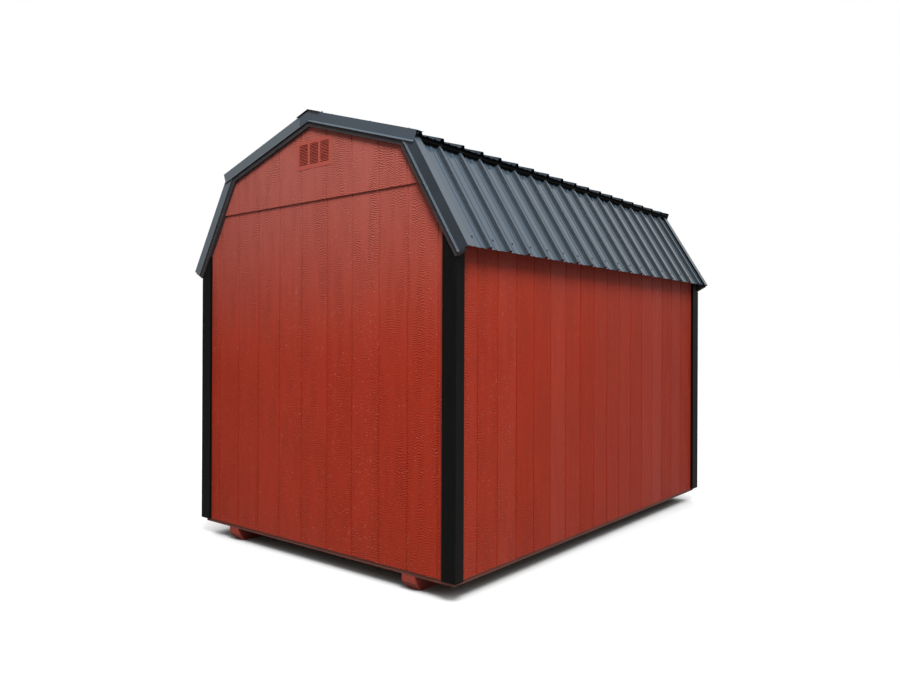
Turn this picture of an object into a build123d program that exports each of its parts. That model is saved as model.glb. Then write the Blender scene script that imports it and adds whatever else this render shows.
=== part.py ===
from build123d import *
from math import atan, cos, radians, sin, tan
import os

os.makedirs("parts", exist_ok=True)

# Floor and walls, millimetres, ground at zero, gable to the front
frame_width = 2090.0
frame_length = 3590.0
stud_depth = 89.0
stud_thickness = 38.0
joist_count = 9
side_studs = 7
gable_studs = 5
skid_size = 89.0
skid_inset = 298.0
skid_bevel = 50.0
rim_reveal = 24.0
deck_thickness = 16.0
siding_thickness = 9.5
groove_pitch = 203.2
groove_width = 9.0
groove_depth = 3.0
front_groove_start = 109.0
side_groove_start = 208.5
sheet_grooves = 5
sheet_gap = 13.8
joint_drop = 293.0
joint_lap = 38.0
trim_thickness = 19.0
corner_face_width = 89.0
front_side_width = 54.0
rear_side_width = 100.0
side_board_gap = 30.0
side_siding_gap = 2.0
rake_board_width = 72.0
rake_board_setback = 14.0
fit = 0.5

# Gambrel roof, its planes measured to the tops of the ribs
eave_reach = 101.0
eave_height = 1847.0
break_inset = 274.6
upper_slope = atan(1.0 / 3.0)
lower_slope = radians(60.4)
break_overhang = 52.0
truss_count = 7
rafter_depth = 89.0
purlin_thickness = 19.0
purlin_width = 89.0
ridge_purlin_gap = 12.0
break_purlin_gap = 8.0
lower_purlin_gap = 24.0

# Ribbed sheets
rib_height = 19.0
rib_pitch = 203.2
rib_start = 7.3
rib_base = 46.0
rib_crown = 18.0
rib_ease = 2.0
minor_rib_height = 4.0
minor_rib_base = 22.0
minor_rib_crown = 10.0
sheet_thickness = 1.0
ridge_gap = 20.0
roof_end_gap = 1.0
sheet_top_gap = 3.0
sheet_setback = 15.0
closure_length = 26.0
closure_cover = 3.0

# Ridge cap, rake flashing and vent
cap_wing = 97.0
cap_overrun = 14.0
flashing_leg = 54.0
flashing_top = 64.0
flashing_thickness = 1.2
hem_length = 12.0
hem_angle = radians(38.0)
tab_reach = 76.0
tab_root = 25.0
vent_width = 300.0
vent_height = 176.0
vent_offset = 25.0
vent_drop = 262.5
vent_border = 23.0
vent_mullion = 16.0
vent_blades = 14
vent_blade_thickness = 1.6
vent_blade_gap = 1.0
vent_blade_recess = 0.4
vent_depth = 11.0
vent_rim = 2.0
vent_plate = 1.5

half_w = frame_width / 2
half_l = frame_length / 2
siding_bottom = skid_size + rim_reveal
deck_top = skid_size + stud_depth + deck_thickness
face_half_w = half_w + siding_thickness
face_half_l = half_l + siding_thickness
upper_face_l = face_half_l + siding_thickness
rake_face_l = upper_face_l + trim_thickness
purlin_depth = rib_height + purlin_thickness
eave_half_width = half_w + eave_reach
break_line = half_w - break_inset
ridge_height = (
    eave_height + (eave_half_width - break_line) * tan(lower_slope) + break_line * tan(upper_slope)
)


def upper_z(x, depth):
    """Height of the upper roof plane, sunk by depth, at x."""
    return ridge_height - x * tan(upper_slope) - depth / cos(upper_slope)


def lower_z(x, depth):
    """Height of the lower roof plane, sunk by depth, at x."""
    return eave_height + (eave_half_width - x) * tan(lower_slope) - depth / cos(lower_slope)


def break_x(upper_depth, lower_depth):
    """Half width at which the two sunk roof planes meet."""
    top = ridge_height - upper_depth / cos(upper_slope)
    foot = eave_height + eave_half_width * tan(lower_slope) - lower_depth / cos(lower_slope)
    return (foot - top) / (tan(lower_slope) - tan(upper_slope))


def lower_x(z, depth):
    """Half width of the lower roof plane, sunk by depth, at height z."""
    return eave_half_width + (eave_height - depth / cos(lower_slope) - z) / tan(lower_slope)


def section(y):
    """Cross-section plane at y, looking along the building."""
    return Plane.XZ.offset(-y)


def upper_start(x, depth):
    """Plane square to the upper slope at x, its origin sunk by depth and its own y pointing out."""
    return Plane(
        origin=(x - depth * sin(upper_slope), 0, upper_z(x, 0) - depth * cos(upper_slope)),
        x_dir=(0, 1, 0),
        z_dir=(cos(upper_slope), 0, -sin(upper_slope)),
    )


def lower_start(x, depth):
    """Plane square to the lower slope at x, its origin sunk by depth and its own y pointing out."""
    return Plane(
        origin=(x - depth * sin(lower_slope), 0, lower_z(x, 0) - depth * cos(lower_slope)),
        x_dir=(0, 1, 0),
        z_dir=(cos(lower_slope), 0, -sin(lower_slope)),
    )


plate_top = lower_z(half_w, purlin_depth)
upper_joint_height = upper_z(break_line, 0) - joint_drop
break_half = break_x(purlin_depth, purlin_depth)
break_height = upper_z(break_half, purlin_depth)

# Skids and floor
with BuildPart() as skid_right:
    with BuildSketch(Plane.YZ.offset(half_w - skid_inset - skid_size / 2)) as _:
        with BuildLine():
            Polyline(
                (-half_l + skid_bevel, 0),
                (half_l - skid_bevel, 0),
                (half_l, skid_bevel),
                (half_l, skid_size),
                (-half_l, skid_size),
                (-half_l, skid_bevel),
                close=True,
            )
        make_face()
    extrude(amount=skid_size)

with BuildPart() as skid_left:
    mirror(skid_right.part, about=Plane.YZ)

with BuildPart() as floor_rim:
    with BuildSketch(Plane.XY.offset(skid_size)) as _:
        with GridLocations(0, frame_length - stud_thickness, 1, 2):
            Rectangle(frame_width, stud_thickness)
        with GridLocations(frame_width - stud_thickness, 0, 2, 1):
            Rectangle(stud_thickness, frame_length - 2 * stud_thickness - 2 * fit)
    extrude(amount=stud_depth)

joist_span = frame_width - 2 * stud_thickness - 2 * fit
joist_step = (frame_length - stud_thickness) / (joist_count - 1)
with BuildPart() as floor_joists:
    with BuildSketch(Plane.XY.offset(skid_size)) as _:
        with GridLocations(0, joist_step, 1, joist_count - 2):
            Rectangle(joist_span, stud_thickness)
    extrude(amount=stud_depth)

with BuildPart() as floor_deck:
    with BuildSketch(Plane.XY.offset(skid_size + stud_depth)) as _:
        Rectangle(frame_width, frame_length)
    extrude(amount=deck_thickness)

# Wall frames, with studs between a bottom and a top plate
stud_base = deck_top + stud_thickness + fit
stud_top = plate_top - stud_thickness - fit
with BuildPart() as right_wall_frame:
    with BuildSketch(Plane.XY.offset(deck_top)) as _:
        with Locations((half_w - stud_depth / 2, 0)):
            Rectangle(stud_depth, frame_length)
    extrude(amount=stud_thickness)
    with BuildSketch(Plane.XY.offset(stud_base)) as _:
        with Locations((half_w - stud_depth / 2, 0)):
            with GridLocations(0, (frame_length - stud_thickness) / (side_studs - 1), 1, side_studs):
                Rectangle(stud_depth, stud_thickness)
    extrude(amount=stud_top - stud_base)
    with BuildSketch(Plane.XY.offset(plate_top - stud_thickness)) as _:
        with Locations((half_w - stud_depth / 2, 0)):
            Rectangle(stud_depth, frame_length)
    extrude(amount=stud_thickness)

with BuildPart() as left_wall_frame:
    mirror(right_wall_frame.part, about=Plane.YZ)

gable_span = frame_width - 2 * stud_depth - 2 * fit
with BuildPart() as front_wall_frame:
    with BuildSketch(Plane.XY.offset(deck_top)) as _:
        with Locations((0, -half_l + stud_depth / 2)):
            Rectangle(gable_span, stud_depth)
    extrude(amount=stud_thickness)
    with BuildSketch(Plane.XY.offset(stud_base)) as _:
        with Locations((0, -half_l + stud_depth / 2)):
            with GridLocations((gable_span - stud_thickness) / (gable_studs - 1), 0, gable_studs, 1):
                Rectangle(stud_thickness, stud_depth)
    extrude(amount=stud_top - stud_base)
    with BuildSketch(Plane.XY.offset(plate_top - stud_thickness)) as _:
        with Locations((0, -half_l + stud_depth / 2)):
            Rectangle(gable_span, stud_depth)
    extrude(amount=stud_thickness)

with BuildPart() as rear_wall_frame:
    mirror(front_wall_frame.part, about=Plane.XZ)

# Rafters of the gambrel roof, each frame four pieces that meet at the ridge and at the breaks
truss_step = (frame_length - stud_thickness) / (truss_count - 1)
inner_depth = purlin_depth + rafter_depth
inner_break = break_x(inner_depth, inner_depth)
seat = plate_top + fit
with BuildPart() as roof_rafters:
    for truss in range(truss_count):
        truss_y = -half_l + stud_thickness / 2 + truss * truss_step
        with BuildSketch(section(truss_y)) as _:
            with BuildLine():
                Polyline(
                    (fit / 2, upper_z(fit / 2, purlin_depth)),
                    (break_half, break_height),
                    (inner_break, upper_z(inner_break, inner_depth)),
                    (fit / 2, upper_z(fit / 2, inner_depth)),
                    close=True,
                )
            make_face()
            with BuildLine():
                Polyline(
                    (break_half + fit / 2, lower_z(break_half + fit / 2, purlin_depth)),
                    (lower_x(seat, purlin_depth), seat),
                    (lower_x(seat, inner_depth), seat),
                    (inner_break + fit / 2, lower_z(inner_break + fit / 2, inner_depth)),
                    close=True,
                )
            make_face()
            mirror(about=Plane.YZ)
        extrude(amount=stud_thickness / 2, both=True)

# Purlins that carry the metal sheets
purlin_length = 2 * upper_face_l
upper_run = break_half / cos(upper_slope)
lower_run = (break_height - plate_top) / sin(lower_slope)
with BuildPart() as roof_purlins:
    upper_plane = Plane(
        origin=(0, 0, upper_z(0, purlin_depth)),
        x_dir=(cos(upper_slope), 0, -sin(upper_slope)),
        z_dir=(sin(upper_slope), 0, cos(upper_slope)),
    )
    with BuildSketch(upper_plane) as _:
        with Locations(
            (purlin_width / 2 + ridge_purlin_gap, 0),
            (upper_run / 2, 0),
            (upper_run - purlin_width / 2 - break_purlin_gap, 0),
        ):
            Rectangle(purlin_width, purlin_length)
    extrude(amount=purlin_thickness)
    lower_plane = Plane(
        origin=(break_half, 0, break_height),
        x_dir=(cos(lower_slope), 0, -sin(lower_slope)),
        z_dir=(sin(lower_slope), 0, cos(lower_slope)),
    )
    with BuildSketch(lower_plane) as _:
        with Locations(
            (purlin_width / 2 + lower_purlin_gap, 0),
            (lower_run / 2, 0),
            (lower_run - purlin_width / 2, 0),
        ):
            Rectangle(purlin_width, purlin_length)
    extrude(amount=purlin_thickness)
    mirror(about=Plane.YZ)

# Siding with cut grooves, the gable in two sheets side by side and an upper tier that stands proud
siding_span = half_w - fit
lower_top = upper_joint_height + joint_lap
groove_room = 2 * face_half_w - front_groove_start - sheet_gap
front_grooves = [
    face_half_w - front_groove_start - groove_pitch * k - sheet_gap * (k // sheet_grooves)
    for k in range(int(groove_room / groove_pitch) + 1)
]
side_grooves = [
    side_groove_start - face_half_l + groove_pitch * k
    for k in range(int((2 * face_half_l - side_groove_start) / groove_pitch) + 1)
]
with BuildPart() as front_siding_lower:
    with BuildSketch(section(-half_l)) as _:
        with BuildLine():
            Polyline(
                (-siding_span, siding_bottom),
                (siding_span, siding_bottom),
                (siding_span, lower_z(siding_span, purlin_depth)),
                (lower_x(lower_top, purlin_depth), lower_top),
                (-lower_x(lower_top, purlin_depth), lower_top),
                (-siding_span, lower_z(siding_span, purlin_depth)),
                close=True,
            )
        make_face()
    extrude(amount=siding_thickness)
    with BuildSketch(section(-face_half_l)) as _:
        with Locations(*[(x, 0) for x in front_grooves]):
            Rectangle(groove_width, 2 * ridge_height)
    extrude(amount=-groove_depth, mode=Mode.SUBTRACT)

with BuildPart() as rear_siding_lower:
    mirror(front_siding_lower.part, about=Plane.XZ)

vent_middle = ridge_height - vent_drop
hole_width = vent_width - 2 * vent_border + 4 * vent_rim
hole_height = vent_height - 2 * vent_border + 4 * vent_rim
with BuildPart() as front_siding_upper:
    with BuildSketch(section(-face_half_l)) as _:
        with BuildLine():
            Polyline(
                (-lower_x(upper_joint_height, purlin_depth), upper_joint_height),
                (lower_x(upper_joint_height, purlin_depth), upper_joint_height),
                (break_half, break_height),
                (0, upper_z(0, purlin_depth)),
                (-break_half, break_height),
                close=True,
            )
        make_face()
        with Locations((vent_offset, vent_middle)):
            Rectangle(hole_width, hole_height, mode=Mode.SUBTRACT)
    extrude(amount=siding_thickness)
    with BuildSketch(section(-upper_face_l)) as _:
        with Locations(*[(x, 0) for x in front_grooves]):
            Rectangle(groove_width, 2 * ridge_height)
    extrude(amount=-groove_depth, mode=Mode.SUBTRACT)

with BuildPart() as rear_siding_upper:
    mirror(front_siding_upper.part, about=Plane.XZ)

backer_base = lower_top + fit
with BuildPart() as front_gable_backer:
    with BuildSketch(section(-half_l)) as _:
        with BuildLine():
            Polyline(
                (-lower_x(backer_base, purlin_depth), backer_base),
                (lower_x(backer_base, purlin_depth), backer_base),
                (break_half, break_height),
                (0, upper_z(0, purlin_depth)),
                (-break_half, break_height),
                close=True,
            )
        make_face()
        with Locations((vent_offset, vent_middle)):
            Rectangle(hole_width, hole_height, mode=Mode.SUBTRACT)
    extrude(amount=siding_thickness - fit / 2)

with BuildPart() as rear_gable_backer:
    mirror(front_gable_backer.part, about=Plane.XZ)

side_top = plate_top - side_siding_gap
with BuildPart() as right_siding:
    with BuildSketch(Plane.YZ.offset(half_w)) as _:
        with Locations((0, (siding_bottom + side_top) / 2)):
            Rectangle(2 * face_half_l, side_top - siding_bottom)
    extrude(amount=siding_thickness)
    with BuildSketch(Plane.YZ.offset(face_half_w)) as _:
        with Locations(*[(y, 0) for y in side_grooves]):
            Rectangle(groove_width, 2 * plate_top)
    extrude(amount=-groove_depth, mode=Mode.SUBTRACT)

with BuildPart() as left_siding:
    mirror(right_siding.part, about=Plane.YZ)

# Corner boards, a gable board lapping the edge of a side board
corner_out = face_half_w + trim_thickness
rake_foot_depth = rib_height + rake_board_width
corner_in = corner_out - corner_face_width
side_board_x = face_half_w + trim_thickness / 2
side_board_length = side_top - side_board_gap - siding_bottom
with BuildPart() as corner_trim_front_right:
    with BuildSketch(section(-face_half_l)) as _:
        with BuildLine():
            Polyline(
                (corner_in, siding_bottom),
                (corner_out, siding_bottom),
                (corner_out, lower_z(corner_out, rake_foot_depth) - fit),
                (corner_in, lower_z(corner_in, rake_foot_depth) - fit),
                close=True,
            )
        make_face()
    extrude(amount=trim_thickness)
    with BuildSketch(Plane.XY.offset(siding_bottom)) as _:
        with Locations((side_board_x, -face_half_l + fit + front_side_width / 2)):
            Rectangle(trim_thickness, front_side_width)
    extrude(amount=side_board_length)

with BuildPart() as corner_trim_front_left:
    mirror(corner_trim_front_right.part, about=Plane.YZ)

with BuildPart() as corner_trim_rear_right:
    with BuildSketch(section(face_half_l)) as _:
        with BuildLine():
            Polyline(
                (corner_in, siding_bottom),
                (corner_out, siding_bottom),
                (corner_out, lower_z(corner_out, rake_foot_depth) - fit),
                (corner_in, lower_z(corner_in, rake_foot_depth) - fit),
                close=True,
            )
        make_face()
    extrude(amount=-trim_thickness)
    with BuildSketch(Plane.XY.offset(siding_bottom)) as _:
        with Locations((side_board_x, face_half_l - fit - rear_side_width / 2)):
            Rectangle(trim_thickness, rear_side_width)
    extrude(amount=side_board_length)

with BuildPart() as corner_trim_rear_left:
    mirror(corner_trim_rear_right.part, about=Plane.YZ)

# Rake boards along the gable edges of both slopes, the lower one packed out below the joint
board_break = break_x(rib_height, rib_height)
board_inner = break_x(rake_foot_depth, rake_foot_depth)
foot_x = eave_half_width - rake_board_setback
foot_z = lower_z(foot_x, rib_height)
packer_depth = purlin_depth + fit
packer_top = upper_joint_height - fit
with BuildPart() as rake_board_front_right:
    with BuildSketch(section(-upper_face_l)) as _:
        with BuildLine():
            Polyline(
                (fit / 2, upper_z(fit / 2, rib_height)),
                (board_break, upper_z(board_break, rib_height)),
                (board_inner, upper_z(board_inner, rake_foot_depth)),
                (fit / 2, upper_z(fit / 2, rake_foot_depth)),
                close=True,
            )
        make_face()
        with BuildLine():
            Polyline(
                (board_break + fit, lower_z(board_break + fit, rib_height)),
                (foot_x, foot_z),
                (foot_x - rake_board_width * sin(lower_slope), foot_z - rake_board_width * cos(lower_slope)),
                (board_inner + fit, lower_z(board_inner + fit, rake_foot_depth)),
                close=True,
            )
        make_face()
    extrude(amount=trim_thickness)
    with BuildSketch(section(-face_half_l)) as _:
        with BuildLine():
            Polyline(
                (lower_x(packer_top, packer_depth), packer_top),
                (foot_x - (packer_depth - rib_height) * sin(lower_slope),
                 foot_z - (packer_depth - rib_height) * cos(lower_slope)),
                (foot_x - rake_board_width * sin(lower_slope), foot_z - rake_board_width * cos(lower_slope)),
                (lower_x(packer_top, rake_foot_depth), packer_top),
                close=True,
            )
        make_face()
    extrude(amount=siding_thickness)

with BuildPart() as rake_board_front_left:
    mirror(rake_board_front_right.part, about=Plane.YZ)

with BuildPart() as rake_board_rear_right:
    mirror(rake_board_front_right.part, about=Plane.XZ)

with BuildPart() as rake_board_rear_left:
    mirror(rake_board_front_left.part, about=Plane.XZ)

# Ribbed roof sheets
sheet_end = rake_face_l - roof_end_gap
first_rib = rib_start - face_half_l
major_ribs = int((sheet_end - rib_base / 2 - first_rib) / rib_pitch) + 1


def rib_corners(middle, base, crown_width, height):
    """Four corners of one rib that fits on the sheet, none of one that doesn't."""
    if abs(middle) + base / 2 > sheet_end:
        return []
    return [
        (middle - base / 2, 0),
        (middle - crown_width / 2, height),
        (middle + crown_width / 2, height),
        (middle + base / 2, 0),
    ]


def rib_line():
    """Upper surface of the ribbed profile, as points from the front edge of a sheet to its back edge."""
    line = [(-sheet_end, 0)]
    for rib in range(major_ribs):
        middle = first_rib + rib * rib_pitch
        line += rib_corners(middle, rib_base, rib_crown, rib_height)
        for third in (1, 2):
            small = middle + third * rib_pitch / 3
            line += rib_corners(small, minor_rib_base, minor_rib_crown, minor_rib_height)
    line.append((sheet_end, 0))
    return line


def sheet_outline():
    """Closed outline of a ribbed sheet of even thickness."""
    top = rib_line()
    under = [(y, z - sheet_thickness) for y, z in reversed(top)]
    return top + under


lift = sheet_thickness + fit
crown_under = rib_height - sheet_thickness
sheet_depth = rib_height - lift
under_depth = rib_height + sheet_thickness + fit
upper_eave_x = break_line + break_overhang
with BuildPart() as upper_roof_sheet_right:
    with BuildSketch(upper_start(ridge_gap, sheet_depth)) as _:
        with BuildLine():
            Polyline(*sheet_outline(), close=True)
        make_face()
        chamfer(vertices().filter_by_position(Axis.Y, crown_under - fit / 2, rib_height + fit / 2), rib_ease)
    extrude(amount=(upper_eave_x - ridge_gap) / cos(upper_slope))

with BuildPart() as upper_roof_sheet_left:
    mirror(upper_roof_sheet_right.part, about=Plane.YZ)

lower_start_x = break_x(under_depth, -lift) + sheet_top_gap - lift * sin(lower_slope)
with BuildPart() as lower_roof_sheet_right:
    with BuildSketch(lower_start(lower_start_x, sheet_depth)) as _:
        with BuildLine():
            Polyline(*sheet_outline(), close=True)
        make_face()
        chamfer(vertices().filter_by_position(Axis.Y, crown_under - fit / 2, rib_height + fit / 2), rib_ease)
    extrude(amount=(eave_half_width - lower_start_x) / cos(lower_slope) - sheet_setback)

with BuildPart() as lower_roof_sheet_left:
    mirror(lower_roof_sheet_right.part, about=Plane.YZ)

# Closure strips over the pans of the lower sheets, under the upper ones and between the flashings
lower_face = rake_face_l + fit
closure_end = lower_face - flashing_top - fit
closure_top = rib_height + closure_cover
under_plane = Plane(
    origin=(0, 0, upper_z(0, under_depth)), x_dir=(0, 1, 0), z_dir=(sin(upper_slope), 0, cos(upper_slope))
)
with BuildPart() as break_closure_right:
    with BuildSketch(lower_start(lower_start_x, sheet_depth - fit)) as _:
        with BuildLine():
            Polyline(*rib_line(), (sheet_end, closure_top), (-sheet_end, closure_top), close=True)
        make_face()
        Rectangle(2 * closure_end, 2 * closure_top, mode=Mode.INTERSECT)
    extrude(amount=closure_length)
    split(bisect_by=under_plane, keep=Keep.BOTTOM)

with BuildPart() as break_closure_left:
    mirror(break_closure_right.part, about=Plane.YZ)

# Ridge cap resting on the flashings and the ribs
cap_seat = -lift - fit - flashing_thickness - fit
cap_top = cap_seat - flashing_thickness
cap_end = rake_face_l + cap_overrun
with BuildPart() as ridge_cap:
    with BuildSketch(Plane.XZ) as _:
        with BuildLine():
            Polyline(
                (0, upper_z(0, cap_top)),
                (cap_wing, upper_z(cap_wing, cap_top)),
                (cap_wing, upper_z(cap_wing, cap_seat)),
                (0, upper_z(0, cap_seat)),
                (-cap_wing, upper_z(cap_wing, cap_seat)),
                (-cap_wing, upper_z(cap_wing, cap_top)),
                close=True,
            )
        make_face()
    extrude(amount=cap_end, both=True)


def flashing_outline(face, sink):
    """Outline of a rake flashing, its face leg at the distance face, its crown sunk by sink."""
    t = flashing_thickness
    kick = hem_length * sin(hem_angle)
    drop = hem_length * cos(hem_angle)
    return [
        (-face + flashing_top, -sink + t),
        (-face - t, -sink + t),
        (-face - t, -flashing_leg),
        (-face - t - kick, -flashing_leg - drop),
        (-face - kick, -flashing_leg - drop - t),
        (-face, -flashing_leg - t / 2),
        (-face, -sink),
        (-face + flashing_top, -sink),
    ]


# Rake flashings, the upper pair lapping the lower, the right one folded past the ridge by a tab
crown = -lift - fit / 2
upper_face = lower_face + flashing_thickness + fit
tab_face = upper_face + flashing_thickness + fit
with BuildPart() as upper_flashing_half:
    with BuildSketch(upper_start(-flashing_leg, 0)) as _:
        with BuildLine():
            Polyline(*flashing_outline(upper_face, crown), close=True)
        make_face()
    extrude(amount=(upper_eave_x + flashing_leg) / cos(upper_slope))
    split(bisect_by=Plane.YZ.offset(fit / 2), keep=Keep.TOP)

with BuildPart() as rake_flashing_front_upper_left:
    mirror(upper_flashing_half.part, about=Plane.YZ)

with BuildPart() as rake_flashing_front_upper_right:
    add(upper_flashing_half.part)
    with BuildSketch(section(-tab_face)) as _:
        with BuildLine():
            Polyline(
                (-tab_reach, upper_z(tab_reach, 0)),
                (0, upper_z(0, 0)),
                (tab_root, upper_z(tab_root, 0)),
                (tab_root, upper_z(tab_root, flashing_leg)),
                (0, upper_z(0, flashing_leg)),
                (-tab_reach, upper_z(tab_reach, flashing_leg)),
                close=True,
            )
        make_face()
    extrude(amount=flashing_thickness)
    with BuildSketch(section(-upper_face)) as _:
        with BuildLine():
            Polyline(
                (fit / 2, upper_z(fit / 2, 0)),
                (tab_root, upper_z(tab_root, 0)),
                (tab_root, upper_z(tab_root, flashing_leg)),
                (fit / 2, upper_z(fit / 2, flashing_leg)),
                close=True,
            )
        make_face()
    extrude(amount=tab_face + flashing_thickness - upper_face)

with BuildPart() as rake_flashing_rear_upper_right:
    mirror(rake_flashing_front_upper_right.part, about=Plane.XZ)

with BuildPart() as rake_flashing_rear_upper_left:
    mirror(rake_flashing_front_upper_left.part, about=Plane.XZ)

hem_sink = flashing_leg + hem_length + 4 * fit
hem_cut_in = half_w / 3
with BuildPart() as rake_flashing_front_lower_right:
    high_x = break_line - flashing_leg
    with BuildSketch(lower_start(high_x, 0)) as _:
        with BuildLine():
            Polyline(*flashing_outline(lower_face, crown), close=True)
        make_face()
    extrude(amount=(eave_half_width - high_x) / cos(lower_slope))
    split(bisect_by=under_plane, keep=Keep.BOTTOM)
    with BuildSketch(section(-lower_face - flashing_thickness - fit / 4)) as _:
        with BuildLine():
            Polyline(
                (hem_cut_in, upper_z(hem_cut_in, hem_sink)),
                (half_w, upper_z(half_w, hem_sink)),
                (half_w, ridge_height),
                (hem_cut_in, ridge_height),
                close=True,
            )
        make_face()
    extrude(amount=hem_length, mode=Mode.SUBTRACT)

with BuildPart() as rake_flashing_front_lower_left:
    mirror(rake_flashing_front_lower_right.part, about=Plane.YZ)

with BuildPart() as rake_flashing_rear_lower_right:
    mirror(rake_flashing_front_lower_right.part, about=Plane.XZ)

with BuildPart() as rake_flashing_rear_lower_left:
    mirror(rake_flashing_front_lower_left.part, about=Plane.XZ)

# Louvred gable vents
open_width = vent_width - 2 * vent_border
open_height = vent_height - 2 * vent_border
column_width = (open_width - 2 * vent_mullion) / 3
blade_pitch = open_height / vent_blades
blade_rise = blade_pitch - vent_blade_gap
blade_out = -upper_face_l - vent_plate + vent_blade_recess
blade_in = -upper_face_l + vent_depth - vent_rim
first_blade = vent_middle - (vent_blades - 1) / 2 * blade_pitch
with BuildPart() as gable_vent_front:
    with BuildSketch(section(-upper_face_l)) as _:
        with Locations((vent_offset, vent_middle)):
            Rectangle(vent_width, vent_height)
            with GridLocations(column_width + vent_mullion, 0, 3, 1):
                Rectangle(column_width, open_height, mode=Mode.SUBTRACT)
    extrude(amount=vent_plate)
    with BuildSketch(section(-upper_face_l)) as _:
        with Locations((vent_offset, vent_middle)):
            Rectangle(open_width + 2 * vent_rim, open_height + 2 * vent_rim)
            with GridLocations(column_width + vent_mullion, 0, 3, 1):
                Rectangle(column_width, open_height, mode=Mode.SUBTRACT)
    extrude(amount=-vent_depth)
    with BuildSketch(Plane.YZ.offset(vent_offset - (open_width + vent_rim) / 2)) as _:
        with Locations(*[(0, first_blade + blade * blade_pitch) for blade in range(vent_blades)]):
            Polygon(
                (blade_out, -blade_rise / 2),
                (blade_in, blade_rise / 2),
                (blade_in, blade_rise / 2 + vent_blade_thickness),
                (blade_out, -blade_rise / 2 + vent_blade_thickness),
                align=None,
            )
    extrude(amount=open_width + vent_rim)

with BuildPart() as gable_vent_rear:
    mirror(gable_vent_front.part, about=Plane.XZ)

pieces = {
    "skid_right": skid_right,
    "skid_left": skid_left,
    "floor_rim": floor_rim,
    "floor_joists": floor_joists,
    "floor_deck": floor_deck,
    "right_wall_frame": right_wall_frame,
    "left_wall_frame": left_wall_frame,
    "front_wall_frame": front_wall_frame,
    "rear_wall_frame": rear_wall_frame,
    "roof_rafters": roof_rafters,
    "roof_purlins": roof_purlins,
    "front_siding_lower": front_siding_lower,
    "rear_siding_lower": rear_siding_lower,
    "front_siding_upper": front_siding_upper,
    "rear_siding_upper": rear_siding_upper,
    "front_gable_backer": front_gable_backer,
    "rear_gable_backer": rear_gable_backer,
    "right_siding": right_siding,
    "left_siding": left_siding,
    "corner_trim_front_right": corner_trim_front_right,
    "corner_trim_front_left": corner_trim_front_left,
    "corner_trim_rear_right": corner_trim_rear_right,
    "corner_trim_rear_left": corner_trim_rear_left,
    "rake_board_front_right": rake_board_front_right,
    "rake_board_front_left": rake_board_front_left,
    "rake_board_rear_right": rake_board_rear_right,
    "rake_board_rear_left": rake_board_rear_left,
    "upper_roof_sheet_right": upper_roof_sheet_right,
    "upper_roof_sheet_left": upper_roof_sheet_left,
    "lower_roof_sheet_right": lower_roof_sheet_right,
    "lower_roof_sheet_left": lower_roof_sheet_left,
    "break_closure_right": break_closure_right,
    "break_closure_left": break_closure_left,
    "ridge_cap": ridge_cap,
    "rake_flashing_front_upper_right": rake_flashing_front_upper_right,
    "rake_flashing_front_upper_left": rake_flashing_front_upper_left,
    "rake_flashing_rear_upper_right": rake_flashing_rear_upper_right,
    "rake_flashing_rear_upper_left": rake_flashing_rear_upper_left,
    "rake_flashing_front_lower_right": rake_flashing_front_lower_right,
    "rake_flashing_front_lower_left": rake_flashing_front_lower_left,
    "rake_flashing_rear_lower_right": rake_flashing_rear_lower_right,
    "rake_flashing_rear_lower_left": rake_flashing_rear_lower_left,
    "gable_vent_front": gable_vent_front,
    "gable_vent_rear": gable_vent_rear,
}
for name, piece in pieces.items():
    piece.part.label = name
    export_step(piece.part, f"parts/{name}.step")
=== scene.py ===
"""Gambrel storage barn on skids: finishes, fasteners, light and camera."""

from __future__ import annotations

import logging
import math
from dataclasses import dataclass, field
from enum import Enum
from typing import Any, Iterable, Iterator

import bpy
from mathutils import Matrix, Vector
from mathutils.bvhtree import BVHTree


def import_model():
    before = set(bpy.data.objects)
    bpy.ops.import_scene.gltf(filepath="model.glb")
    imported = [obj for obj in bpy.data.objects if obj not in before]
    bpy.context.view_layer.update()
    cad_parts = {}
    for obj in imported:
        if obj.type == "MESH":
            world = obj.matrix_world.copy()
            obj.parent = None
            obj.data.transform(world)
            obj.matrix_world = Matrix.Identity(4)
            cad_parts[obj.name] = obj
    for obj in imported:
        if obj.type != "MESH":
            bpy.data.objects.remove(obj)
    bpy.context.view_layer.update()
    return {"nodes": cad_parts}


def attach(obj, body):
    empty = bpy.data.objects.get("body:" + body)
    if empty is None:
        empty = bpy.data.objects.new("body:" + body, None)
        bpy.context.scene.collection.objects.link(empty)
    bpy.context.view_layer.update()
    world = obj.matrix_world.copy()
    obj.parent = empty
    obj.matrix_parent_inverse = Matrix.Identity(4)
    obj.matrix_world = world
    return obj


log = logging.getLogger("barn")

Colour = tuple[float, float, float]
Triple = tuple[float, float, float]
Seat = tuple[Vector, Vector]

BODY = "root"

WHITE: Colour = (1.0, 1.0, 1.0)
DOWN: Triple = (0.0, 0.0, -1.0)
SIDES = (("right", 1.0), ("left", -1.0))
ENDS = (("front", -1.0), ("rear", 1.0))

# A place before the first board of any wall, for siding that is counted without a joint.
NO_JOINT = -9.0


class Axis(Enum):
    """The direction in which the boards of a wall are counted."""

    ACROSS = (1.0, 0.0, 0.0)
    ALONG = (0.0, 1.0, 0.0)


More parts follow.
